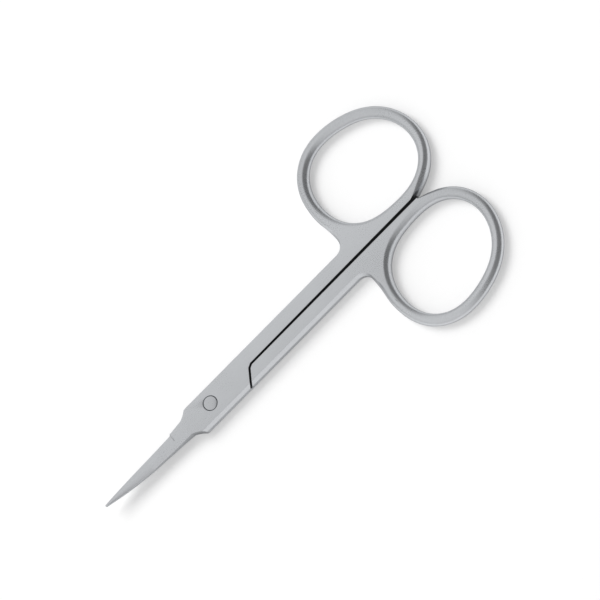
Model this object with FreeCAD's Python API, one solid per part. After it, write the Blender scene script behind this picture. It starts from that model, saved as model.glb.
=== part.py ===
import FreeCAD, Part
import math
import os

from FreeCAD import Vector

# Cuticle scissors, closed, in millimetres. The pivot axis is Z through the origin, the finger rings
# lie towards +X, the blades towards -X, and z = 0 is the flat underside.

# Lengths from the pivot
BLADE_LENGTH = 27.0
HANDLE_LENGTH = 62.7

# Stock that both halves are ground from
THICKNESS = 3.05
SHANK_WIDTH = 6.4
BEVEL_WIDTH = 0.45
BEVEL_HEIGHT = 1.0

# Parting line between the halves, a little to the rear half's side of the pivot
PARTING_GAP = 0.42
PARTING_SHIFT = 0.24
LAP_CLEARANCE = 0.05

# Step where a shank reaches full thickness behind the lap
STEP_INNER_X = 10.1
STEP_OUTER_X = 8.1
STEP_CORNER = 0.6
STEP_GAP = 0.4

# Box front and neck
BOX_FRONT = 4.05
NECK_START = 6.6
NECK_WIDTH = 3.3
NECK_HOLLOW = 0.15

# Blade outline
SHOULDER = 9.7
SHOULDER_WIDTH = 3.0
EDGE_STEP = 0.14
BELLY_X = 19.0
BELLY_WIDTH = 2.25
TIP_RADIUS = 0.15

# Blade thickness and its curve up towards the tip
SHOULDER_THICKNESS = 1.1
BELLY_THICKNESS = 0.75
TIP_THICKNESS = 0.3
CURVE_START = 10.2
CURVE_RADIUS = 68.0
FACET_TILT = 11.0
FACET_INSET = 0.1

# Finger ring: an oval band of four arcs, given by the middle of its width
RING_END_RADIUS = 9.85
RING_STRETCH = 2.05
RING_BULGE = 0.36
RING_TILT = -16.1
RING_WIDTH = 2.35
RING_FLAT = 0.15
RING_TRIM = 0.35

# Web between shank and ring
WEB_RADIUS = 2.0
RUNOUT_START = 0.5
RUNOUT_RADIUS = 11.0
RUNOUT_ANGLE = 60.0

# Rivet
RIVET_SHAFT = 2.0
RIVET_HEAD = 2.74
RIVET_SINK = 0.6
RIVET_EDGE = 0.08
RIVET_CLEARANCE = 0.03

# Construction allowances
SECTOR_ANGLE = 120.0
OVERRUN = 1.0
REACH = 200.0

LAP = THICKNESS / 2
HALF_WIDTH = SHANK_WIDTH / 2
RING_ROUNDING = (min(RING_WIDTH, THICKNESS) - RING_FLAT) / 2
X_AXIS = Vector(1, 0, 0)
Z_AXIS = Vector(0, 0, 1)


def line(start, end):
    return Part.LineSegment(start, end).toShape()


def arc(start, middle, end):
    return Part.Arc(start, middle, end).toShape()


def path(points):
    return [line(start, end) for start, end in zip(points, points[1:])]


def prism(edges, low, high):
    face = Part.Face(Part.Wire(Part.__sortEdges__(edges)))
    face.translate(Vector(0, 0, low))
    return face.extrude(Vector(0, 0, high - low))


def unit(vector):
    return vector / vector.Length


def crossing(point, direction, other, other_direction):
    """Where two lines in plan meet."""
    across = direction.cross(other_direction).z
    travel = (other - point).cross(other_direction).z / across
    return point + direction * travel


def mirrored(vector):
    return Vector(vector.x, -vector.y, vector.z)


def ring_curve(offset, centre):
    """The oval, moved out from the middle of the band: two end arcs and two flatter side arcs."""
    end_radius = RING_END_RADIUS + offset
    rise = (RING_STRETCH**2 - RING_BULGE**2) / (2 * RING_BULGE)
    join = unit(Vector(RING_STRETCH, rise, 0)) * end_radius + Vector(RING_STRETCH, 0, 0)
    tip = Vector(RING_STRETCH + end_radius, 0, 0)
    crest = Vector(0, RING_BULGE + end_radius, 0)
    joins = [join, Vector(-join.x, join.y, 0), join * -1, mirrored(join)]
    middles = [crest, tip * -1, crest * -1, tip]
    oval = Part.Wire([arc(joins[i], middles[i], joins[(i + 1) % 4]) for i in range(4)])
    oval.rotate(Vector(), Z_AXIS, RING_TILT)
    oval.translate(centre)
    return oval


def ring_centre(inner):
    """Puts the band's far side at the handle's end and lets the parting line trim its inner side."""
    box = ring_curve(RING_WIDTH / 2, Vector()).optimalBoundingBox()
    return Vector(HANDLE_LENGTH - box.XMax, inner - RING_TRIM - box.YMin, 0)


def step_points(inner):
    """Plan of a shank's front end: parting line, cut corner, slanting step, outer edge."""
    corner = Vector(STEP_INNER_X, inner, 0)
    outer = Vector(STEP_OUTER_X, HALF_WIDTH, 0)
    slant = unit(outer - corner)
    return [corner + Vector(STEP_CORNER, 0, 0), corner + slant * STEP_CORNER, outer]


def shank_and_web(inner, centre):
    """Full-thickness plate from the step to the crown of the ring, bevelled along its outer edges."""
    start, cut, outer = step_points(inner)
    crown = ring_curve(RING_WIDTH / 2 - RING_ROUNDING, centre).optimalBoundingBox()
    near = crown.XMin - BEVEL_WIDTH
    foot = Vector(near - WEB_RADIUS, HALF_WIDTH, 0)
    top = Vector(near, HALF_WIDTH + WEB_RADIUS, 0)
    hollow = Vector(foot.x, top.y, 0) + unit(Vector(1, -1, 0)) * WEB_RADIUS
    blend = Vector(near, centre.y, 0)
    leave = Vector(centre.x - RUNOUT_START, inner, 0)
    hub = leave + Vector(0, RUNOUT_RADIUS, 0)
    turn = math.radians(RUNOUT_ANGLE)
    halfway = hub + Vector(math.sin(turn / 2), -math.cos(turn / 2), 0) * RUNOUT_RADIUS
    end = hub + Vector(math.sin(turn), -math.cos(turn), 0) * RUNOUT_RADIUS
    outside = [line(outer, foot), arc(foot, hollow, top), line(top, blend)]
    edges = outside + path([blend, centre, end])
    edges.append(arc(end, halfway, leave))
    edges += path([leave, start, cut, outer])
    plate = prism(edges, 0, THICKNESS)
    plate = plate.makeChamfer(BEVEL_HEIGHT, BEVEL_WIDTH, matching(plate, outside, (0, THICKNESS)))
    return plate.cut(prism(ring_curve(0, centre).Edges, -OVERRUN, THICKNESS + OVERRUN))


def matching(shape, plan_edges, heights):
    """The edges of a prism that lie over the given plan edges at the given heights."""
    found = []
    for height in heights:
        for plan_edge in plan_edges:
            target = plan_edge.CenterOfMass + Vector(0, 0, height)
            found.append(min(shape.Edges, key=lambda edge: edge.CenterOfMass.distanceToPoint(target)))
    return found


def finger_ring(inner, centre):
    """Oval band with rounded rims, trimmed flat along the parting line."""
    band = prism(ring_curve(RING_WIDTH / 2, centre).Edges, 0, THICKNESS)
    band = band.cut(prism(ring_curve(-RING_WIDTH / 2, centre).Edges, -OVERRUN, THICKNESS + OVERRUN))
    rims = [edge for edge in band.Edges if edge.BoundBox.ZLength < RING_ROUNDING]
    band = band.makeFillet(RING_ROUNDING, rims)
    corner = Vector(-REACH, inner - REACH, -REACH)
    return band.cut(Part.makeBox(2 * REACH, REACH, 2 * REACH, corner))


def neck_point():
    half = NECK_WIDTH / 2
    return Vector(-math.sqrt(NECK_START**2 - half**2), half, 0)


def box_side():
    """Concave arc from the box's front corner to the neck, on the +Y side."""
    corner = Vector(-BOX_FRONT, HALF_WIDTH, 0)
    neck = neck_point()
    along = unit(neck - corner)
    inward = Vector(-along.y, along.x, 0)
    return corner, (corner + neck) / 2 + inward * NECK_HOLLOW, neck


def lap_plate(inner, other_inner):
    """Upper half of the box, which laps over the other half and ends short of the other half's step."""
    start, cut, outer = [mirrored(point) for point in step_points(other_inner)]
    slant = unit(outer - cut)
    oblique = unit(cut - start)
    slant_start = cut + Vector(slant.y, -slant.x, 0) * STEP_GAP
    oblique_start = start + Vector(oblique.y, -oblique.x, 0) * STEP_GAP
    on_parting = crossing(oblique_start, oblique, Vector(0, inner, 0), X_AXIS)
    on_oblique = crossing(oblique_start, oblique, slant_start, slant)
    on_edge = crossing(slant_start, slant, Vector(0, -HALF_WIDTH, 0), X_AXIS)
    back = Vector(on_parting.x + SHANK_WIDTH, inner, 0)
    back_outer = Vector(back.x, HALF_WIDTH, 0)
    corner, hollow, neck = box_side()
    sides = [line(corner, back_outer), line(on_edge, mirrored(corner))]
    edges = sides + path([back_outer, back, on_parting, on_oblique, on_edge])
    edges.append(arc(corner, hollow, neck))
    edges.append(arc(mirrored(corner), mirrored(hollow), mirrored(neck)))
    edges.append(arc(neck, Vector(-NECK_START, 0, 0), mirrored(neck)))
    plate = prism(edges, LAP + LAP_CLEARANCE / 2, THICKNESS)
    return plate.makeChamfer(BEVEL_HEIGHT, BEVEL_WIDTH, matching(plate, sides, (THICKNESS,)))


def blade_outline(side):
    """Plan of a blade, with its cutting edge on +Y for side 1 and on -Y for side -1."""
    keen_neck = neck_point() if side > 0 else mirrored(neck_point())
    keen = Vector(-SHOULDER, side * SHOULDER_WIDTH / 2, 0)
    ground = keen - Vector(0, side * EDGE_STEP, 0)
    belly = Vector(-BELLY_X, side * BELLY_WIDTH / 2, 0)
    point = Vector(TIP_RADIUS - BLADE_LENGTH, side * TIP_RADIUS, 0)
    edges = path([keen_neck, keen, ground])
    edges.append(arc(ground, belly, point))
    edges.append(arc(point, Vector(-BLADE_LENGTH, 0, 0), mirrored(point)))
    edges.append(arc(mirrored(point), mirrored(belly), mirrored(keen)))
    edges += path([mirrored(keen), mirrored(keen_neck)])
    edges.append(arc(mirrored(keen_neck), Vector(-NECK_START, 0, 0), keen_neck))
    return edges


def mating_height(radius, side):
    """Height of a blade's inner face, which slides on the other blade at every angle."""
    reach = max(radius - CURVE_START, 0)
    swept = CURVE_RADIUS - side * LAP_CLEARANCE / 2
    return LAP + CURVE_RADIUS - math.sqrt(swept**2 - reach**2)


def profile_point(radius, thickness, side):
    return Vector(-radius, 0, mating_height(radius, side) + side * thickness)


def outer_profile(side):
    """Radial section of a blade's outer face from neck to tip: a slope, then an arc past the shoulder."""
    end = BLADE_LENGTH + OVERRUN
    neck = Vector(-NECK_START, 0, LAP + side * THICKNESS / 2)
    shoulder = profile_point(SHOULDER, SHOULDER_THICKNESS, side)
    belly = profile_point(BELLY_X, BELLY_THICKNESS, side)
    return neck, shoulder, belly, profile_point(end, TIP_THICKNESS, side)


def swept_about_pivot(edges):
    face = Part.Face(Part.Wire(Part.__sortEdges__(edges)))
    face.rotate(Vector(), Z_AXIS, -SECTOR_ANGLE / 2)
    return face.revolve(Vector(), Z_AXIS, SECTOR_ANGLE)


def blade(side):
    """A blade between two surfaces turned about the pivot, ground to a facet behind its cutting edge."""
    neck, shoulder, belly, end = outer_profile(side)
    root = neck + Vector(OVERRUN, 0, 0)
    inner_root = profile_point(NECK_START - OVERRUN, 0, side)
    inner_start = profile_point(CURVE_START, 0, side)
    inner_belly = profile_point(BELLY_X, 0, side)
    inner_end = profile_point(BLADE_LENGTH + OVERRUN, 0, side)
    edges = path([end, inner_end])
    edges.append(arc(inner_end, inner_belly, inner_start))
    edges += path([inner_start, inner_root, root, neck, shoulder])
    edges.append(arc(shoulder, belly, end))
    blank = swept_about_pivot(edges)
    blank = blank.common(prism(blade_outline(side), -REACH, REACH))
    far = Vector(0, 0, side * REACH)
    above = path([end, end + far, shoulder + far, shoulder])
    above.append(arc(shoulder, belly, end))
    grinder = swept_about_pivot(above)
    grinder.rotate(Vector(0, -side * FACET_INSET, shoulder.z), X_AXIS, -FACET_TILT)
    return blank.cut(grinder)


def rivet(clearance):
    """The rivet, or with a clearance the hole for it: a shaft with a sunk head at each face."""
    shaft = RIVET_SHAFT / 2 + clearance
    head = RIVET_HEAD / 2 + clearance
    half = [(shaft, LAP), (shaft, THICKNESS - RIVET_SINK), (head, THICKNESS - RIVET_EDGE)]
    half.append((head - RIVET_EDGE, THICKNESS))
    upper = [Vector(radius, 0, height) for radius, height in half]
    lower = [Vector(point.x, 0, THICKNESS - point.z) for point in upper]
    top = Vector(0, 0, THICKNESS)
    outline = [Vector(), *reversed(lower), *upper[1:], top, Vector()]
    return Part.Face(Part.Wire(path(outline))).revolve(Vector(), Z_AXIS, 360)


def handle(inner, other_inner):
    """Ring, web, shank and lap plate of the half that lies on +Y and laps over the other."""
    centre = ring_centre(inner)
    return shank_and_web(inner, centre).fuse([finger_ring(inner, centre), lap_plate(inner, other_inner)])


def finished(handle_shape, side, clearance):
    """One half: its handle and blade as a single forging, with the rivet's hole."""
    body = handle_shape.fuse(blade(side))
    body = body.cut(rivet(clearance))
    return body.removeSplitter()


front_inner = PARTING_GAP / 2 - PARTING_SHIFT
rear_inner = PARTING_GAP / 2 + PARTING_SHIFT
front_handle = handle(front_inner, rear_inner)
rear_handle = handle(rear_inner, front_inner)
rear_handle.rotate(Vector(0, 0, LAP), X_AXIS, 180)

nodes = {
    "front_half": finished(front_handle, 1, RIVET_CLEARANCE),
    "rear_half": finished(rear_handle, -1, 0),
    "pivot_rivet": rivet(0),
}

os.makedirs("parts", exist_ok=True)
for name, shape in nodes.items():
    state = "valid" if shape.isValid() else "INVALID"
    print(name, state, len(shape.Solids), "solid", round(shape.Volume, 1), "mm3")
    shape.exportStep("parts/" + name + ".step")
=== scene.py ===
"""Cuticle scissors in satin steel: two ground halves and a flush rivet, dressed round their CAD frame."""

import math

import bmesh
import bpy
from bpy.props import FloatProperty, FloatVectorProperty, PointerProperty
from bpy.types import Operator, Panel, PropertyGroup
from mathutils import Matrix, Vector


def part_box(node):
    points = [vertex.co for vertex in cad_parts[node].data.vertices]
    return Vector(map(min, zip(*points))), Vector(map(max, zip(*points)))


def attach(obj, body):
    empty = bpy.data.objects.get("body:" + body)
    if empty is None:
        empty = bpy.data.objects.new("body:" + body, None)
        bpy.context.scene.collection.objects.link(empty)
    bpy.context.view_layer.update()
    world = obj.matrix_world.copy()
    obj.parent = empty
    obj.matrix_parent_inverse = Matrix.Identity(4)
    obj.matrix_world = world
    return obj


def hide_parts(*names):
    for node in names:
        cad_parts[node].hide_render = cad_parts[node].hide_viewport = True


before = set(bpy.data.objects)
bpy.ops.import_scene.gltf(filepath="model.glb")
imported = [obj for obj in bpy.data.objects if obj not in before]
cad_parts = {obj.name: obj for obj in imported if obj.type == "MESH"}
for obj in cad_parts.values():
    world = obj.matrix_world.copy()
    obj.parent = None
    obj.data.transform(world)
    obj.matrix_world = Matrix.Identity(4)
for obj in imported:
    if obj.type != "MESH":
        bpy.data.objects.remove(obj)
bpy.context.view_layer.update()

bl_info = {
    "name": "Cuticle scissors",
    "version": (1, 0, 0),
    "blender": (4, 5, 0),
    "location": "3D View > Sidebar > Scissors",
    "description": "Builds a pair of satin steel cuticle scissors round its CAD frame",
    "category": "Add Mesh",
}

MM = 0.001

# Sizes that the CAD frame sets
rivet_low, rivet_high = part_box("pivot_rivet")
front_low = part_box("front_half")[0]
STOCK = (rivet_high.z - rivet_low.z) / MM
BLADE_REACH = -front_low.x / MM
RIVET_HEAD = (rivet_high.x - rivet_low.x) / MM

# Which way a half's blade bends in its own frame, where the rear half lies upside down
FRONT = 1
REAR = -1

# How finely the curves are cut, and what counts as one place
PROFILE_ROWS = 10
WALL_ROWS = 2
RING_CUTS = 180
FILLET_CUTS = 8
BLEND_CUTS = 14
NECK_CUTS = 6
NECK_STATIONS = 8
BLADE_STATIONS = 40
RIVET_CUTS = 72
ARRIS_CUTS = 2
MERGE = 0.0005 * MM

# How fast the web's bevel becomes the ring's round, as a multiple of an even pace
WEB_HASTE = 1.6

# Which edges are eased by an arris, and by what share of it
CREASE = math.radians(20)
CREASE_FADE = math.radians(4)
BLADE_ARRIS = 0.4
LEAST_ARRIS = 0.1

# How level, upright or turned to the other half a face is, by parts of its normal
LEVEL = 0.99
UPRIGHT = 0.3
TURNED = -0.2

# Where the walls between the halves start behind the pivot, and how far from the parting edge they stray
WALLS_START = 3 * MM
PARTING_SLACK = 0.35 * MM

# How strongly the patterns of the finish show in the steel's tone, roughness and relief
NOISE_MEAN = 0.5
FINE_DETAIL = 2.0
PLAIN_DETAIL = 1.0
SCRATCH_SQUEEZE = 0.04
GRAIN_TONE = 0.28
SCRATCH_TONE = 0.1
PATCH_TONE = 0.14
LEAN_TONE = 0.045
GRAIN_ROUGHNESS = 0.12
PATCH_ROUGHNESS = 0.1
DULL_ROUGHNESS = 0.2
SCRATCH_HEIGHT = 0.5
BUMP_STRENGTH = 0.25
BUMP_DEPTH = 0.01 * MM
RIVET_LIGHTNESS = 0.93

# The floor's whiteness, and its half width in metres
PAPER = 0.7
FLOOR_REACH = 3.0

# Upward part of a line of sight where the studio's walls start and stop brightening
WALLS_LOW = -0.4
WALLS_HIGH = 0.7

WHITE = (1, 1, 1, 1)


def length(label, note, millimetres):
    return FloatProperty(name=label, description=note, default=millimetres * MM, unit="LENGTH", precision=5)


def angle(label, note, degrees):
    return FloatProperty(name=label, description=note, default=math.radians(degrees), subtype="ANGLE")


def number(label, note, default):
    return FloatProperty(name=label, description=note, default=default, precision=4)


def power(label, note, watts):
    return FloatProperty(name=label, description=note, default=watts, unit="POWER")


def colour(label, note, default):
    return FloatVectorProperty(name=label, description=note, default=default, subtype="COLOR", min=0, max=1)


class HandleSizes(PropertyGroup):
    thickness: length("Thickness", "Height of both halves together at the shank", STOCK)
    shank_width: length("Shank width", "Width across both shanks at the pivot", 6.4)
    bevel_width: length("Bevel width", "How far the long edges' bevel runs in over the flat", 0.45)
    bevel_height: length("Bevel height", "How far the bevel runs down the side", 1.0)
    arris: length("Arris", "Rounding left on every ground edge", 0.05)
    parting_gap: length("Parting gap", "Gap between the two closed shanks", 0.42)
    parting_shift: length("Parting shift", "How far the gap lies to the rear half's side", 0.24)
    lap_clearance: length("Lap clearance", "Play between the two lapped plates", 0.05)
    step_inner: length("Step, inner end", "Reach from the pivot of the step's end at the gap", 10.1)
    step_outer: length("Step, outer end", "Reach from the pivot of the step's end at the edge", 8.1)
    step_corner: length("Step corner", "Length cut off the step's corner at the gap", 0.42)
    step_lean: length("Step lean", "How far the step runs forward as it goes down the bevel", 0.42)
    step_gap: length("Step gap", "Gap between a lap plate and the other half's step", 0.4)
    box_front: length("Box front", "Reach of the box in front of the pivot", 4.05)
    neck_reach: length("Neck reach", "Distance from the pivot to the neck", 6.39)
    neck_width: length("Neck width", "Width of the neck where the blade starts", 3.3)
    neck_hollow: length("Neck hollow", "Depth of the hollow between box and neck", 0.15)
    web_reach: length("Web reach", "Distance from the pivot to the web's near edge", 37.4)
    web_radius: length("Web radius", "Fillet between shank and web", 2.0)


class RingSizes(PropertyGroup):
    reach: length("Reach", "Distance from the pivot to the ring's centre", 49.587)
    front_offset: length("Front offset", "From the front half's parting edge to its ring's centre", 11.456)
    rear_offset: length("Rear offset", "From the rear half's parting edge to its ring's centre", 11.104)
    radius: length("Radius", "Mean radius of the band's crown", 11.087)
    oval: length("Oval", "How far the ring is drawn out into an oval", 0.847)
    oval_tilt: angle("Oval tilt", "Turn of the oval's long axis", 16.79)
    egg: length("Egg", "How far one end is fuller than the other", 0.174)
    egg_tilt: angle("Egg tilt", "Turn of the fuller end", 12.15)
    flattening: length("Flattening", "How far the sides are flattened", 0.154)
    band: length("Band", "Width of the band", 2.33)
    thinness: number("Thinness", "Height of the free band, as a share of the shank's", 0.75)
    thin_run: angle("Thin run", "Angle round the ring over which the band thins, at each end", 45.0)
    web_turn: angle("Web turn", "Angle round the ring at which the web has run into it", 172.0)
    fade_start: angle("Fade start", "Angle at which the rim starts to run into the parting edge", -52.0)
    fade_end: angle("Fade end", "Angle at which the rim's round has died out", -79.0)
    arris_end: length("Arris end", "Distance from the pivot at which the rim's arris has died out", 52.5)
    arris_fade: length("Arris fade", "Length over which the rim's arris dies out", 3.0)
    settle: length("Settle", "Least height above the rim's lowest point at which it is cut off", 0.05)


class BladeSizes(PropertyGroup):
    reach: length("Reach", "Distance from the pivot to the tip", BLADE_REACH)
    shoulder: length("Shoulder", "Distance from the pivot to where the blade is ground", 9.53)
    shoulder_width: length("Shoulder width", "Width of the blade at the shoulder", 3.0)
    shoulder_length: length("Shoulder length", "Length over which the shoulder steps down", 0.2)
    edge_step: length("Edge step", "How far the cutting edge is ground back at the shoulder", 0.14)
    lower_inset: length("Lower inset", "How far the lower blade's edge lies under the upper's back", 0.4)
    lower_run: length("Lower run", "Length over which the lower blade's facet fades in", 6.0)
    edge_slope: number("Edge slope", "Taper of the cutting edge near the shoulder", 0.03)
    back_slope: number("Back slope", "Taper of the back near the shoulder", 0.032)
    belly: number("Belly", "How late the blade narrows to its tip", 3.4)
    tip_width: length("Tip width", "Width of the blunt tip", 0.26)
    shoulder_thickness: length("Shoulder thickness", "Thickness of one blade at the shoulder", 1.1)
    tip_thickness: length("Tip thickness", "Thickness of one blade at the tip", 0.3)
    taper: number("Taper", "How late the blade thins to its tip", 1.33)
    curve_start: length("Curve start", "Distance from the pivot to where the blade turns up", 10.2)
    curve_radius: length("Curve radius", "Radius of the blade's upward curve", 68.0)
    facet_tilt: angle("Facet tilt", "Tilt of the facet behind the cutting edge", 11.0)
    ridge_inset: length("Ridge inset", "How far the ridge lies behind the blade's middle", 0.1)


class RivetSizes(PropertyGroup):
    head: length("Head", "Diameter of the flush head", RIVET_HEAD)
    shaft: length("Shaft", "Diameter of the shaft", 2.0)
    sink: length("Sink", "Depth of the sunk head", 0.6)
    groove: length("Groove", "Width of the fine groove round the head, on each side", 0.085)
    groove_depth: length("Groove depth", "Depth of the fine groove round the head", 0.26)


class SteelLook(PropertyGroup):
    colour: colour("Colour", "Colour of the bare steel", (0.6, 0.615, 0.635))
    edge_tint: colour("Edge tint", "How steel darkens where it is seen edge on", (0.45, 0.45, 0.45))
    roughness: number("Roughness", "Roughness of the satin finish", 0.30)
    grain: length("Grain", "Size of the blasted grain", 0.16)
    scratch: length("Scratch", "Width of the faint lengthwise scratches", 0.08)
    patch: length("Patch", "Size of the broad uneven patches", 8.0)
    lean: length("Lean", "Distance across the halves from the lightest to the darkest tone", 12.0)
    # Share of the steel's tone left on the walls between the halves: painted shade of the narrow gap between
    # them
    painted_gap_shade: number("Painted gap shade", "Tone of the walls between the halves, as a share of the polished", 0.3)


class StageLook(PropertyGroup):
    azimuth: angle("Azimuth", "Direction that the camera stands in", 19.22)
    elevation: angle("Elevation", "Height of the camera above the horizon", 66.31)
    roll: angle("Roll", "Turn of the picture", -63.0)
    distance: length("Distance", "From the camera to the scissors", 3000.0)
    frame_width: length("Frame width", "Width that the picture takes in", 109.5)
    aim_right: length("Aim, right", "From the rivet to the picture's centre, to the right", 16.40)
    aim_up: length("Aim, up", "From the rivet to the picture's centre, upwards", 18.81)
    high_level: number("High level", "Brightness of the white studio walls overhead", 0.84)
    low_level: number("Low level", "Brightness of the white studio walls low down", 0.56)
    dark_level: number("Dark level", "Brightness of the studio's unlit side", 0.24)
    dark_way: angle("Dark way", "Direction of the unlit side, from +X towards +Y", 338.5)
    dark_half: angle("Dark half", "Half the angle that the unlit side takes up", 61.5)
    dark_edge: angle("Dark edge", "Angle over which the unlit side fades in, each way", 25.0)
    lamp_power: power("Lamp power", "Power of the soft box", 12.5)
    lamp_size: length("Lamp size", "Width and height of the soft box", 900.0)
    lamp_distance: length("Lamp distance", "From the soft box to the scissors", 1500.0)
    lamp_side: angle("Lamp side", "Direction of the soft box, from +X towards +Y", 105.0)
    lamp_height: angle("Lamp height", "Height of the soft box above the horizon", 58.0)


class ScissorSettings(PropertyGroup):
    handle: PointerProperty(type=HandleSizes)
    ring: PointerProperty(type=RingSizes)
    blade: PointerProperty(type=BladeSizes)
    rivet: PointerProperty(type=RivetSizes)
    steel: PointerProperty(type=SteelLook)
    stage: PointerProperty(type=StageLook)


# Plan geometry


def smooth(share):
    held = min(max(share, 0), 1)
    return held * held * (3 - 2 * held)


def plan(x, y):
    return Vector((x, y, 0))


def direction(turn):
    return plan(math.cos(turn), math.sin(turn))


def mirrored(place):
    return plan(place.x, -place.y)


def crossing(point, along, other, other_along):
    """Where two lines in plan meet."""
    travel = (other - point).cross(other_along).z / along.cross(other_along).z
    return point + along * travel


class Rim:
    """A place on an outline, how its edge is eased inwards by a bevel or a round, and the round's height."""

    def __init__(self, place, ease=None, roundness=0, fullness=1):
        self.place = place
        self.ease = ease or Vector()
        self.roundness = roundness
        self.fullness = fullness

    def at(self, row, wall):
        """Place in plan and share of the height at a row of the profile: a wall with a bevel, or a round."""
        turn = math.pi / 2 * row / PROFILE_ROWS
        slope = max(row - WALL_ROWS, 0) / (PROFILE_ROWS - WALL_ROWS)
        climb = wall * min(row / WALL_ROWS, 1) + (1 - wall) * slope
        inwards = slope + (1 - math.cos(turn) - slope) * self.roundness
        upwards = climb + (math.sin(turn) * self.fullness - climb) * self.roundness
        return self.place + self.ease * inwards, upwards


class FingerRing:
    """The oval band, given by its crown."""

    def __init__(self, sizes, offset):
        self.sizes = sizes
        self.centre = plan(sizes.reach, offset)

    def crown(self, turn):
        ring = self.sizes
        radius = ring.radius - ring.flattening * math.cos(4 * turn)
        radius += ring.oval * math.cos(2 * (turn + ring.oval_tilt))
        radius += ring.egg * math.cos(3 * (turn + ring.egg_tilt))
        return self.centre + direction(turn) * radius

    def fullness(self, turn):
        """Share of the shank's height that the band has, which is all of it next to the shank."""
        ring = self.sizes
        past_web = smooth((ring.web_turn - turn) / ring.thin_run)
        past_fade = smooth((turn - ring.fade_start) / ring.thin_run)
        return 1 - (1 - ring.thinness) * past_web * past_fade

    def outer(self, turn):
        return self.crown(turn) + direction(turn) * self.sizes.band / 2

    def inner(self, turn):
        return self.crown(turn) - direction(turn) * self.sizes.band / 2

    def crown_beside(self, place):
        offset = place - self.centre
        return self.crown(math.atan2(offset.y, offset.x))


def step_places(handle, parting):
    """Front end of a shank in plan: on the parting line, at the cut corner, and at the outer edge."""
    corner = plan(handle.step_inner, parting)
    outer = plan(handle.step_outer, handle.shank_width / 2)
    slant = (outer - corner).normalized()
    return corner + plan(handle.step_corner, 0), corner + slant * handle.step_corner, outer


def lap_end(handle, parting, other_parting):
    """Back end of a lap plate, which follows the other half's step: at the gap, the corner, the edge."""
    start, cut, outer = [mirrored(place) for place in step_places(handle, other_parting)]
    slant = (outer - cut).normalized()
    oblique = (cut - start).normalized()
    slant_start = cut + plan(slant.y, -slant.x) * handle.step_gap
    oblique_start = start + plan(oblique.y, -oblique.x) * handle.step_gap
    lengthwise = plan(1, 0)
    at_gap = crossing(oblique_start, oblique, plan(0, parting), lengthwise)
    at_corner = crossing(oblique_start, oblique, slant_start, slant)
    at_edge = crossing(slant_start, slant, plan(0, -handle.shank_width / 2), lengthwise)
    return at_gap, at_corner, at_edge


def neck_rims(handle, inset):
    """The box's side in front of the pivot on +Y, from the neck to the corner where the bevel runs out."""
    corner = plan(-handle.box_front, handle.shank_width / 2)
    neck = plan(-handle.neck_reach, handle.neck_width / 2 - inset)
    along = (neck - corner).normalized()
    hollow = plan(-along.y, along.x) * handle.neck_hollow
    shares = [cut / NECK_CUTS for cut in range(NECK_CUTS, 1, -1)]
    places = [corner.lerp(neck, share) + hollow * 4 * share * (1 - share) for share in shares]
    chord = places[-1] - corner
    return [Rim(place) for place in places] + [Rim(corner, chord * (handle.bevel_width / -chord.y))]


def web_rims(handle, ring):
    """Fillet off the shank's edge, then a smooth run on to the ring, whose bevel becomes the ring's round."""
    bevel = handle.bevel_width
    centre = plan(handle.web_reach - handle.web_radius, handle.shank_width / 2 + handle.web_radius)
    rims = []
    for cut in range(FILLET_CUTS + 1):
        outwards = direction(math.pi / 2 * (cut / FILLET_CUTS - 1))
        rims.append(Rim(centre + outwards * handle.web_radius, outwards * bevel))
    start = rims[-1].place
    end_turn = ring_turns(ring.sizes)[0]
    end = ring.outer(end_turn)
    pull = (end - start).length
    start_pull = plan(0, pull)
    end_pull = plan(math.sin(end_turn), -math.cos(end_turn)) * pull
    for cut in range(1, BLEND_CUTS):
        share = cut / BLEND_CUTS
        near = start + start_pull * share * (1 - share)
        far = end - end_pull * share * (1 - share)
        place = near.lerp(far, smooth(share))
        full = ring.crown_beside(place) - place
        rounded = smooth(share * WEB_HASTE)
        rims.append(Rim(place, plan(bevel, 0).lerp(full, rounded), rounded))
    return rims


def ring_turns(sizes):
    """Angles at which the ring's free stretch is cut, from the web round to where the halves part."""
    pitch = 2 * math.pi / RING_CUTS
    first = round(sizes.web_turn / pitch)
    last = round(-math.pi / 2 / pitch)
    return [pitch * cut for cut in range(first, last, -1)]


def ring_rims(ring, parting):
    """Outer rim of the ring, down to the parting edge, where its round dies out in a sharp edge.

    A rim that stays clear of the parting line is met by an edge that slants up to it, and the gap widens.
    """
    sizes = ring.sizes
    edge = max(parting, ring.outer(-math.pi / 2).y + sizes.settle)
    rims = []
    for turn in ring_turns(sizes):
        faded = smooth((turn - sizes.fade_start) / (sizes.fade_end - sizes.fade_start))
        place = ring.outer(turn)
        if place.y < edge:
            last = rims[-1].place
            rims.append(Rim(last.lerp(place, (last.y - edge) / (last.y - place.y)), None, 1))
            return rims
        rims.append(Rim(place, (ring.crown(turn) - place) * (1 - faded), 1, ring.fullness(turn)))
    raise RuntimeError("the ring never reaches the parting edge")


def hole_rim(ring, turn):
    """A place on the rim of the finger hole, rounded up to the band's crown."""
    place = ring.inner(turn)
    return Rim(place, ring.crown(turn) - place, 1, ring.fullness(turn))


def half_rims(handle, ring, parting, other_parting, inset):
    """Outlines of the upper plate and of the full-thickness shank below it, and where they come together."""
    bevel = handle.bevel_width
    start, cut, outer = step_places(handle, parting)
    at_gap, at_corner, at_edge = lap_end(handle, parting, other_parting)
    front = neck_rims(handle, inset)
    back = [Rim(mirrored(rim.place), mirrored(rim.ease)) for rim in reversed(neck_rims(handle, 0))]
    shank = [*web_rims(handle, ring), *ring_rims(ring, parting), Rim(start)]
    lean = plan(handle.step_lean, 0)
    slant = at_corner - at_edge
    end = [Rim(at_gap), Rim(at_corner), Rim(at_edge - lean, slant * (bevel / slant.y) + lean)]
    upper = [*front, Rim(outer - lean, plan(0, -bevel)), *shank, *end, *back]
    slant = cut - outer
    lower = [Rim(outer - lean, slant * (bevel / -slant.y) + lean), *shank, Rim(cut)]
    return upper, lower, len(front)


# Mesh building


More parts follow.
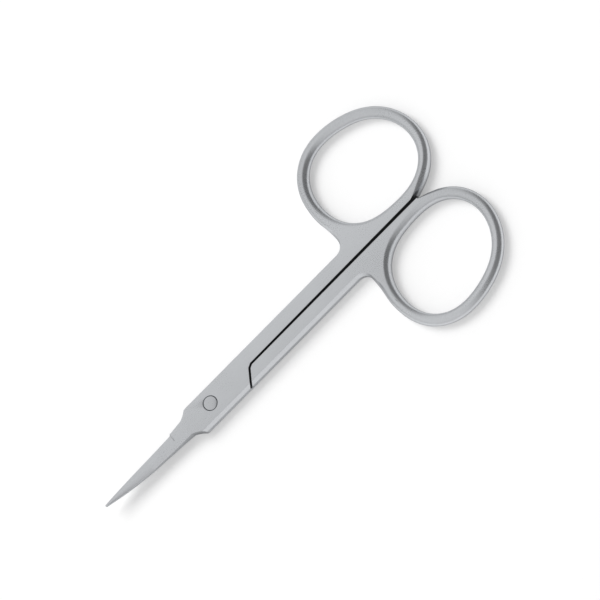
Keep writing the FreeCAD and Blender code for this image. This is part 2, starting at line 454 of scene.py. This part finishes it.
def lifted(place, height):
    return Vector((place.x, place.y, height))


def chain_edges(bm, chain, closed):
    following = chain[1:] + chain[:1] if closed else chain[1:]
    pairs = zip(chain, following)
    return [bm.edges.get(pair) or bm.edges.new(pair) for pair in pairs]


def grow(bm, chain, places, closed):
    """Extrudes a chain of vertices by one row and sets the new row at the given places."""
    made = bmesh.ops.extrude_edge_only(bm, edges=chain_edges(bm, chain, closed))["geom"]
    fresh = {item for item in made if isinstance(item, bmesh.types.BMVert)}
    row = []
    for old, place in zip(chain, places):
        vert = next(edge.other_vert(old) for edge in old.link_edges if edge.other_vert(old) in fresh)
        vert.co = place
        row.append(vert)
    return row


def grow_profile(bm, chain, rims, closed, middle, end, wall):
    """Raises or lowers a chain through its rims' profiles, from the middle of the thickness to a face."""
    rows = [chain]
    for row in range(1, PROFILE_ROWS + 1):
        stops = [rim.at(row, wall) for rim in rims]
        places = [lifted(place, middle + (end - middle) * share) for place, share in stops]
        rows.append(grow(bm, rows[-1], places, closed))
    return rows


def fill_level(bm, height, normal):
    """Closes the flat openings at a height, leaving the holes inside them."""
    edges = []
    for edge in bm.edges:
        if edge.is_boundary and all(abs(vert.co.z - height) < MERGE for vert in edge.verts):
            edges.append(edge)
    bmesh.ops.triangle_fill(bm, use_beauty=True, edges=edges, normal=normal)


def open_rivet_hole(bm, radius):
    """Takes out whatever flat faces the filling laid across the rivet's hole."""
    bm.normal_update()
    across = []
    for face in bm.faces:
        inside = all(plan(vert.co.x, vert.co.y).length < radius + MERGE for vert in face.verts)
        if inside and abs(face.normal.z) > LEVEL:
            across.append(face)
    bmesh.ops.delete(bm, geom=across, context="FACES")


def blade_heights(settings, reach, bend, middle):
    """Height of a blade's inner face and of its back at a distance from the pivot."""
    handle, blade = settings.handle, settings.blade
    past = max(reach - blade.curve_start, 0)
    rise = blade.curve_radius - math.sqrt(blade.curve_radius**2 - past**2)
    stock = handle.thickness - middle
    if reach < blade.shoulder:
        share = (reach - handle.neck_reach) / (blade.shoulder - handle.neck_reach)
        thickness = stock + (blade.shoulder_thickness - stock) * share
    else:
        share = (reach - blade.shoulder) / (blade.reach - blade.shoulder)
        thickness = blade.shoulder_thickness
        thickness += (blade.tip_thickness - blade.shoulder_thickness) * share**blade.taper
    low = middle + bend * rise
    return low, low + thickness


def blade_width(blade, reach, start_width, slope):
    """Half width of a blade past the shoulder, on its cutting edge or its back."""
    past = reach - blade.shoulder
    full = blade.reach - blade.shoulder
    drop = start_width - slope * full - blade.tip_width / 2
    return start_width - slope * past - drop * (past / full) ** blade.belly


def lower_inset(blade, bend):
    """How far a blade's cutting edge lies under the other's back, which is nothing for the upper blade."""
    return 0 if bend == FRONT else blade.lower_inset


def blade_section(settings, reach, bend, middle, shares):
    """One section of a blade: up the cutting edge, over the ridge and down the back."""
    handle, blade = settings.handle, settings.blade
    low, high = blade_heights(settings, reach, bend, middle)
    half = blade.shoulder_width / 2
    inset = lower_inset(blade, bend)
    run = blade.lower_run if inset else blade.shoulder_length
    if reach <= blade.shoulder:
        share = (reach - handle.neck_reach) / (blade.shoulder - handle.neck_reach)
        back = handle.neck_width / 2 + (half - handle.neck_width / 2) * share
        keen = back - inset
    else:
        keen = blade_width(blade, reach, half - (inset or blade.edge_step), blade.edge_slope)
        back = blade_width(blade, reach, half, blade.back_slope)
    ground = smooth((reach - blade.shoulder) / run)
    edge_top = high - ground * math.tan(blade.facet_tilt) * (keen + blade.ridge_inset)
    edge = [Vector((-reach, keen, low + (edge_top - low) * share)) for share in shares]
    spine = [Vector((-reach, -back, low + (high - low) * share)) for share in reversed(shares)]
    return [*edge, Vector((-reach, -blade.ridge_inset, high)), *spine]


def blade_stations(settings):
    """Distances from the pivot at which the blade's sections lie, from behind the neck to the tip."""
    handle, blade = settings.handle, settings.blade
    neck = handle.neck_reach
    ground = blade.shoulder + blade.shoulder_length
    rising = [neck + (blade.shoulder - neck) * cut / NECK_STATIONS for cut in range(1, NECK_STATIONS + 1)]
    falling = [ground + (blade.reach - ground) * cut / BLADE_STATIONS for cut in range(BLADE_STATIONS + 1)]
    return rising + falling


def grow_blade(bm, settings, rows, bend, middle, wall):
    """Draws the blade out from the neck, whose edges are the ends of the upper plate's rows."""
    handle, blade = settings.handle, settings.blade
    keen_column = [row[0] for row in rows]
    back_column = [row[-1] for row in reversed(rows)]
    ridge = bm.verts.new((-handle.neck_reach, -blade.ridge_inset, handle.thickness))
    chain = [*keen_column, ridge, *back_column]
    plain = Rim(Vector())
    shares = [plain.at(row, wall)[1] for row in range(PROFILE_ROWS + 1)]
    for reach in blade_stations(settings):
        section = blade_section(settings, reach, bend, middle, shares)
        following = grow(bm, chain, section, True)
        if reach > blade.shoulder + blade.shoulder_length:
            bm.edges.get((chain[len(shares)], following[len(shares)])).smooth = False
        chain = following
    bmesh.ops.contextual_create(bm, geom=chain_edges(bm, chain, True))


def cut_rivet_hole(bm, handle, rivet, middle):
    """The hole's wall: a fine groove at the face, a sunk cone for the head and the shaft's bore."""
    head, shaft = rivet.head / 2, rivet.shaft / 2
    made = bmesh.ops.create_circle(bm, segments=RIVET_CUTS, radius=head + rivet.groove)
    chain = made["verts"]
    for vert in chain:
        vert.co.z = handle.thickness
    stops = [(head, rivet.groove_depth), (shaft, rivet.sink), (shaft, handle.thickness - middle)]
    for radius, depth in stops:
        around = [plan(vert.co.x, vert.co.y).normalized() * radius for vert in chain]
        chain = grow(bm, chain, [lifted(place, handle.thickness - depth) for place in around], True)


def build_half(bm, settings, ring, parting, other_parting, bend):
    """One half in its own frame: its ring on +Y, its lap plate uppermost, its cutting edge on +Y."""
    handle = settings.handle
    top = handle.thickness
    middle = (handle.thickness + handle.lap_clearance) / 2
    inset = lower_inset(settings.blade, bend)
    upper, lower, shared = half_rims(handle, ring, parting, other_parting, inset)
    chain = [bm.verts.new(lifted(rim.place, middle)) for rim in upper]
    corner = bm.verts.new(lifted(lower[-1].place, middle))
    below = chain[shared : shared + len(lower) - 1] + [corner]
    upper_wall = 1 - handle.bevel_height / (top - middle)
    lower_wall = 1 - handle.bevel_height / middle
    rows = grow_profile(bm, chain, upper, False, middle, top, upper_wall)
    grow_profile(bm, below, lower, True, middle, 0, lower_wall)
    hole = [hole_rim(ring, 2 * math.pi * (cut / RING_CUTS - 0.5)) for cut in range(RING_CUTS)]
    bore = [bm.verts.new(lifted(rim.place, middle)) for rim in hole]
    grow_profile(bm, bore, hole, True, middle, top, upper_wall)
    grow_profile(bm, bore, hole, True, middle, 0, lower_wall)
    grow_blade(bm, settings, rows, bend, middle, upper_wall)
    cut_rivet_hole(bm, handle, settings.rivet, middle)
    bmesh.ops.remove_doubles(bm, verts=bm.verts, dist=MERGE)
    fill_level(bm, top, (0, 0, 1))
    fill_level(bm, middle, (0, 0, -1))
    fill_level(bm, 0, (0, 0, -1))
    open_rivet_hole(bm, settings.rivet.head / 2 + settings.rivet.groove)
    bmesh.ops.recalc_face_normals(bm, faces=bm.faces)


def mark_painted_gap_shade(bm, handle, parting):
    """Marks the walls that face the other half, where the steel's tone is darkened as painted shade of the
    narrow gap between the halves, and its roughness raised.
    """
    painted_gap_shade = bm.faces.layers.float.new("painted_gap_shade")
    clear_of_edge = handle.shank_width / 2 - handle.bevel_width
    for face in bm.faces:
        centre = face.calc_center_median()
        facing = abs(face.normal.z) < UPRIGHT and face.normal.y < TURNED
        between = WALLS_START < centre.x and abs(centre.y) < clear_of_edge
        on_parting = centre.y < parting + PARTING_SLACK
        on_step = centre.x < handle.step_inner + handle.step_corner
        if facing and between and (on_parting or on_step):
            face[painted_gap_shade] = 1


def mark_arrises(bm, blade, ring):
    """Gives the handle's edges a full arris and the blade's edges a finer one, but none at the shoulder."""
    weight = bm.edges.layers.float.new("bevel_weight_edge")
    for edge in bm.edges:
        keenness = smooth((edge.calc_face_angle(0) - CREASE) / CREASE_FADE)
        if keenness == 0:
            continue
        reach = -sum(vert.co.x for vert in edge.verts) / 2
        keenness *= smooth((ring.arris_end + reach) / ring.arris_fade)
        past_shoulder = reach - blade.shoulder
        on_shoulder = -blade.shoulder_length <= past_shoulder <= 2 * blade.shoulder_length
        if on_shoulder or keenness < LEAST_ARRIS:
            edge.smooth = False
        else:
            edge[weight] = keenness * (BLADE_ARRIS if past_shoulder > 0 else 1)


def marked_half(settings, offset, bend):
    """One half in its own frame, with its walls in the gap marked for painted shade and its arrises marked.
    """
    handle = settings.handle
    parting = handle.parting_gap / 2 - bend * handle.parting_shift
    other_parting = handle.parting_gap / 2 + bend * handle.parting_shift
    bm = bmesh.new()
    ring = FingerRing(settings.ring, parting + offset)
    build_half(bm, settings, ring, parting, other_parting, bend)
    mark_painted_gap_shade(bm, handle, parting)
    mark_arrises(bm, settings.blade, settings.ring)
    return bm


def finish_piece(bm, name, body, node, material, arris):
    """Turns a bmesh into a piece that stands for its CAD node, with its arrises and normals finished."""
    mesh = bpy.data.meshes.new(name)
    for face in bm.faces:
        face.smooth = True
    bm.to_mesh(mesh)
    bm.free()
    mesh.materials.append(material)
    piece = bpy.data.objects.new(name, mesh)
    bpy.context.scene.collection.objects.link(piece)
    rounding = piece.modifiers.new("Arris", "BEVEL")
    rounding.limit_method = "WEIGHT"
    rounding.width = arris
    rounding.segments = ARRIS_CUTS
    rounding.use_clamp_overlap = False
    rounding.loop_slide = False
    shading = piece.modifiers.new("Face normals", "WEIGHTED_NORMAL")
    shading.keep_sharp = True
    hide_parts(node)
    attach(piece, body)


# Materials


class Socket:
    """An output of a node. Arithmetic on it adds Math nodes to its tree."""

    def __init__(self, tree, output):
        self.tree = tree
        self.output = output

    def math(self, operation, first, second):
        return self.tree.node("ShaderNodeMath", {"operation": operation}, {0: first, 1: second})

    def __add__(self, other):
        return self.math("ADD", self, other)

    def __sub__(self, other):
        return self.math("SUBTRACT", self, other)

    def __rsub__(self, other):
        return self.math("SUBTRACT", other, self)

    def __mul__(self, other):
        return self.math("MULTIPLY", self, other)

    __radd__ = __add__
    __rmul__ = __mul__


class NodeTree:
    """A material's or a world's nodes."""

    def __init__(self, owner):
        owner.use_nodes = True
        self.nodes = owner.node_tree.nodes
        self.links = owner.node_tree.links
        self.nodes.clear()

    def node(self, kind, settings=None, sockets=None, output=0):
        """Adds a node with its settings, then its values or links, and gives one of its outputs."""
        made = self.nodes.new(kind)
        for name, value in (settings or {}).items():
            setattr(made, name, value)
        for key, value in (sockets or {}).items():
            if isinstance(value, Socket):
                self.links.new(value.output, made.inputs[key])
            else:
                made.inputs[key].default_value = value
        return Socket(self, made.outputs[output]) if made.outputs else made

    def noise(self, place, size, detail):
        """Noise with lumps of about a given size."""
        return self.node("ShaderNodeTexNoise", None, {"Vector": place, "Scale": 1 / size, "Detail": detail})


def steel(name, look, lightness=1.0):
    """Blasted satin steel: fine grain, faint lengthwise scratches, broad uneven tone, and walls between the
    halves darkened with painted shade of the gap and made rougher.
    """
    material = bpy.data.materials.new(name)
    tree = NodeTree(material)
    place = tree.node("ShaderNodeTexCoord", output="Object")
    across = tree.node("ShaderNodeSeparateXYZ", None, {0: place}, "Y")
    squeeze = (SCRATCH_SQUEEZE, 1, 1)
    drawn = tree.node("ShaderNodeVectorMath", {"operation": "MULTIPLY"}, {0: place, 1: squeeze})
    grain = tree.noise(place, look.grain, FINE_DETAIL)
    scratch = tree.noise(drawn, look.scratch, PLAIN_DETAIL)
    patch = tree.noise(place, look.patch, FINE_DETAIL)
    lean = tree.node("ShaderNodeMath", {"operation": "SINE"}, {0: across * (math.pi / look.lean)})
    # Mask of the walls between the halves: it darkens their tone as painted shade of the gap, and raises
    # their roughness
    painted_shade_and_dull_mask = tree.node("ShaderNodeAttribute", {"attribute_name": "painted_gap_shade"}, None, "Fac")
    uneven_grain = grain - NOISE_MEAN
    uneven_patch = patch - NOISE_MEAN
    finish = uneven_grain * GRAIN_TONE + (scratch - NOISE_MEAN) * SCRATCH_TONE
    finish = finish + uneven_patch * PATCH_TONE + lean * LEAN_TONE
    # Painted shade: the walls between the halves are darkened to a share of the steel's tone, as the narrow
    # gap shades them
    tone = (finish + lightness) * (1 - painted_shade_and_dull_mask * (1 - look.painted_gap_shade))
    shade = tree.node("ShaderNodeVectorMath", {"operation": "SCALE"}, {0: look.colour, "Scale": tone})
    roughness = uneven_grain * GRAIN_ROUGHNESS + uneven_patch * PATCH_ROUGHNESS
    roughness = roughness + look.roughness + painted_shade_and_dull_mask * DULL_ROUGHNESS
    relief = {"Strength": BUMP_STRENGTH, "Distance": BUMP_DEPTH, "Height": grain + scratch * SCRATCH_HEIGHT}
    bump = tree.node("ShaderNodeBump", None, relief)
    sockets = {"Base Color": shade, "Metallic": 1.0, "Roughness": roughness, "Normal": bump}
    sockets["Specular Tint"] = (*look.edge_tint, 1)
    shader = tree.node("ShaderNodeBsdfPrincipled", None, sockets)
    tree.node("ShaderNodeOutputMaterial", None, {"Surface": shader})
    return material


def floor_material():
    """White paper that takes the shadow, and shows as white in the picture and in the steel."""
    material = bpy.data.materials.new("white_paper")
    tree = NodeTree(material)
    paper = tree.node("ShaderNodeBsdfDiffuse", None, {"Color": (PAPER, PAPER, PAPER, 1)})
    glow = tree.node("ShaderNodeEmission", None, {"Color": WHITE, "Strength": 1 - PAPER})
    lit = tree.node("ShaderNodeAddShader", None, {0: paper, 1: glow})
    seen = tree.node("ShaderNodeLightPath", output="Is Camera Ray")
    in_metal = tree.node("ShaderNodeLightPath", output="Is Glossy Ray")
    through = tree.node("ShaderNodeLightPath", output="Is Transmission Ray")
    shown = tree.node("ShaderNodeMixShader", None, {0: seen + in_metal + through, 1: paper, 2: lit})
    tree.node("ShaderNodeOutputMaterial", None, {"Surface": shown})
    return material


# The stage


def lay_floor(scene):
    bm = bmesh.new()
    bmesh.ops.create_grid(bm, x_segments=1, y_segments=1, size=FLOOR_REACH)
    mesh = bpy.data.meshes.new("floor")
    bm.to_mesh(mesh)
    bm.free()
    mesh.materials.append(floor_material())
    floor = bpy.data.objects.new("floor", mesh)
    scene.collection.objects.link(floor)


def light_walls(scene, stage):
    """The studio's white walls, brighter overhead and with one side unlit."""
    scene.world = bpy.data.worlds.new("studio")
    tree = NodeTree(scene.world)
    towards = tree.node("ShaderNodeTexCoord", output="Generated")
    height = tree.node("ShaderNodeSeparateXYZ", None, {0: towards}, "Z")
    flat = tree.node("ShaderNodeVectorMath", {"operation": "MULTIPLY"}, {0: towards, 1: (1, 1, 0)})
    level_way = tree.node("ShaderNodeVectorMath", {"operation": "NORMALIZE"}, {0: flat})
    dot = {"operation": "DOT_PRODUCT"}
    facing = tree.node("ShaderNodeVectorMath", dot, {0: level_way, 1: direction(stage.dark_way)}, "Value")
    soft = {"interpolation_type": "SMOOTHSTEP"}
    inner_edge = math.cos(stage.dark_half - stage.dark_edge)
    outer_edge = math.cos(stage.dark_half + stage.dark_edge)
    unlit = tree.node("ShaderNodeMapRange", soft, {"Value": facing, 1: outer_edge, 2: inner_edge})
    heights = {"Value": height, 1: WALLS_LOW, 2: WALLS_HIGH, 3: stage.low_level, 4: stage.high_level}
    wall = tree.node("ShaderNodeMapRange", soft, heights)
    level = wall + unlit * (stage.dark_level - wall)
    sky = tree.node("ShaderNodeBackground", None, {"Color": WHITE, "Strength": level})
    tree.node("ShaderNodeOutputWorld", None, {"Surface": sky})


def hang_soft_box(scene, stage):
    """The lamp that throws the soft shadow. The steel mirrors the walls and not the lamp."""
    lamp = bpy.data.lights.new("soft_box", "AREA")
    lamp.size = stage.lamp_size
    lamp.energy = stage.lamp_power
    soft_box = bpy.data.objects.new("soft_box", lamp)
    rise = stage.lamp_height
    lamp_way = direction(stage.lamp_side) * math.cos(rise) + Vector((0, 0, math.sin(rise)))
    soft_box.location = lamp_way * stage.lamp_distance
    soft_box.rotation_euler = lamp_way.to_track_quat("Z", "Y").to_euler()
    soft_box.visible_glossy = False
    scene.collection.objects.link(soft_box)


def set_camera(scene, stage, height):
    """A long lens that looks down past the rivet's head, which lies at a height above the floor."""
    turn = Matrix.Rotation(stage.azimuth, 4, "Z")
    turn @= Matrix.Rotation(math.pi / 2 - stage.elevation, 4, "X")
    turn @= Matrix.Rotation(stage.roll, 4, "Z")
    stand = Vector((0, 0, height))
    stand += turn @ Vector((stage.aim_right, stage.aim_up, stage.distance))
    lens = bpy.data.cameras.new("camera")
    lens.lens = lens.sensor_width * stage.distance / stage.frame_width
    camera = bpy.data.objects.new("camera", lens)
    camera.matrix_world = Matrix.Translation(stand) @ turn
    scene.collection.objects.link(camera)
    scene.camera = camera


# Operators


class SCISSORS_OT_front_half(Operator):
    """Builds the half whose blade lies uppermost"""

    bl_idname = "scissors.front_half"
    bl_label = "Front half"

    def execute(self, context):
        settings = context.scene.scissors
        bm = marked_half(settings, settings.ring.front_offset, FRONT)
        material = steel("satin_steel_front", settings.steel)
        arris = settings.handle.arris
        finish_piece(bm, "front_half_satin", "front_body", "front_half", material, arris)
        return {"FINISHED"}


class SCISSORS_OT_rear_half(Operator):
    """Builds the half whose blade lies underneath, which is turned over to face the other"""

    bl_idname = "scissors.rear_half"
    bl_label = "Rear half"

    def execute(self, context):
        settings = context.scene.scissors
        bm = marked_half(settings, settings.ring.rear_offset, REAR)
        over = Matrix.Rotation(math.pi, 3, "X")
        bmesh.ops.rotate(bm, cent=(0, 0, settings.handle.thickness / 2), matrix=over, verts=bm.verts)
        material = steel("satin_steel_rear", settings.steel)
        arris = settings.handle.arris
        finish_piece(bm, "rear_half_satin", "rear_body", "rear_half", material, arris)
        return {"FINISHED"}


class SCISSORS_OT_pivot_rivet(Operator):
    """Turns the flush rivet"""

    bl_idname = "scissors.pivot_rivet"
    bl_label = "Pivot rivet"

    def execute(self, context):
        settings = context.scene.scissors
        rivet, top = settings.rivet, settings.handle.thickness
        bm = bmesh.new()
        head, shaft = rivet.head / 2, rivet.shaft / 2
        half = [(0, 0), (head - rivet.groove, 0), (head, rivet.groove_depth), (shaft, rivet.sink)]
        outline = [(radius, top - depth) for radius, depth in half]
        outline += [(radius, depth) for radius, depth in reversed(half)]
        verts = [bm.verts.new((radius, 0, height)) for radius, height in outline]
        edges = chain_edges(bm, verts, False)
        bmesh.ops.spin(
            bm,
            geom=verts + edges,
            cent=(0, 0, 0),
            axis=(0, 0, 1),
            angle=2 * math.pi,
            steps=RIVET_CUTS,
            use_merge=True,
        )
        bmesh.ops.remove_doubles(bm, verts=bm.verts, dist=MERGE)
        bmesh.ops.recalc_face_normals(bm, faces=bm.faces)
        weight = bm.edges.layers.float.new("bevel_weight_edge")
        for edge in bm.edges:
            if edge.calc_face_angle(0) > CREASE:
                edge[weight] = 1
        material = steel("rivet_steel", settings.steel, RIVET_LIGHTNESS)
        arris = settings.handle.arris
        finish_piece(bm, "pivot_rivet_satin", "rear_body", "pivot_rivet", material, arris)
        return {"FINISHED"}


class SCISSORS_OT_stage(Operator):
    """Lays the floor, hangs the light and sets the camera"""

    bl_idname = "scissors.stage"
    bl_label = "Stage"

    def execute(self, context):
        scene = context.scene
        settings = scene.scissors
        scene.view_settings.view_transform = "Standard"
        lay_floor(scene)
        light_walls(scene, settings.stage)
        hang_soft_box(scene, settings.stage)
        set_camera(scene, settings.stage, settings.handle.thickness)
        return {"FINISHED"}


class SCISSORS_PT_panel(Panel):
    """Lists the pieces and their sizes"""

    bl_label = "Cuticle scissors"
    bl_idname = "SCISSORS_PT_panel"
    bl_space_type = "VIEW_3D"
    bl_region_type = "UI"
    bl_category = "Scissors"

    def draw(self, context):
        for operator in operators:
            self.layout.operator(operator.bl_idname)
        settings = context.scene.scissors
        for part in settings.__annotations__:
            group = getattr(settings, part)
            box = self.layout.box()
            for name in group.__annotations__:
                box.prop(group, name)


operators = (SCISSORS_OT_front_half, SCISSORS_OT_rear_half, SCISSORS_OT_pivot_rivet, SCISSORS_OT_stage)
groups = (HandleSizes, RingSizes, BladeSizes, RivetSizes, SteelLook, StageLook, ScissorSettings)


def register():
    for kind in (*groups, *operators, SCISSORS_PT_panel):
        bpy.utils.register_class(kind)
    bpy.types.Scene.scissors = PointerProperty(type=ScissorSettings)


def unregister():
    del bpy.types.Scene.scissors
    for kind in reversed((*groups, *operators, SCISSORS_PT_panel)):
        bpy.utils.unregister_class(kind)


def main():
    register()
    bpy.ops.scissors.front_half()
    bpy.ops.scissors.rear_half()
    bpy.ops.scissors.pivot_rivet()
    bpy.ops.scissors.stage()


if __name__ == "__main__":
    main()
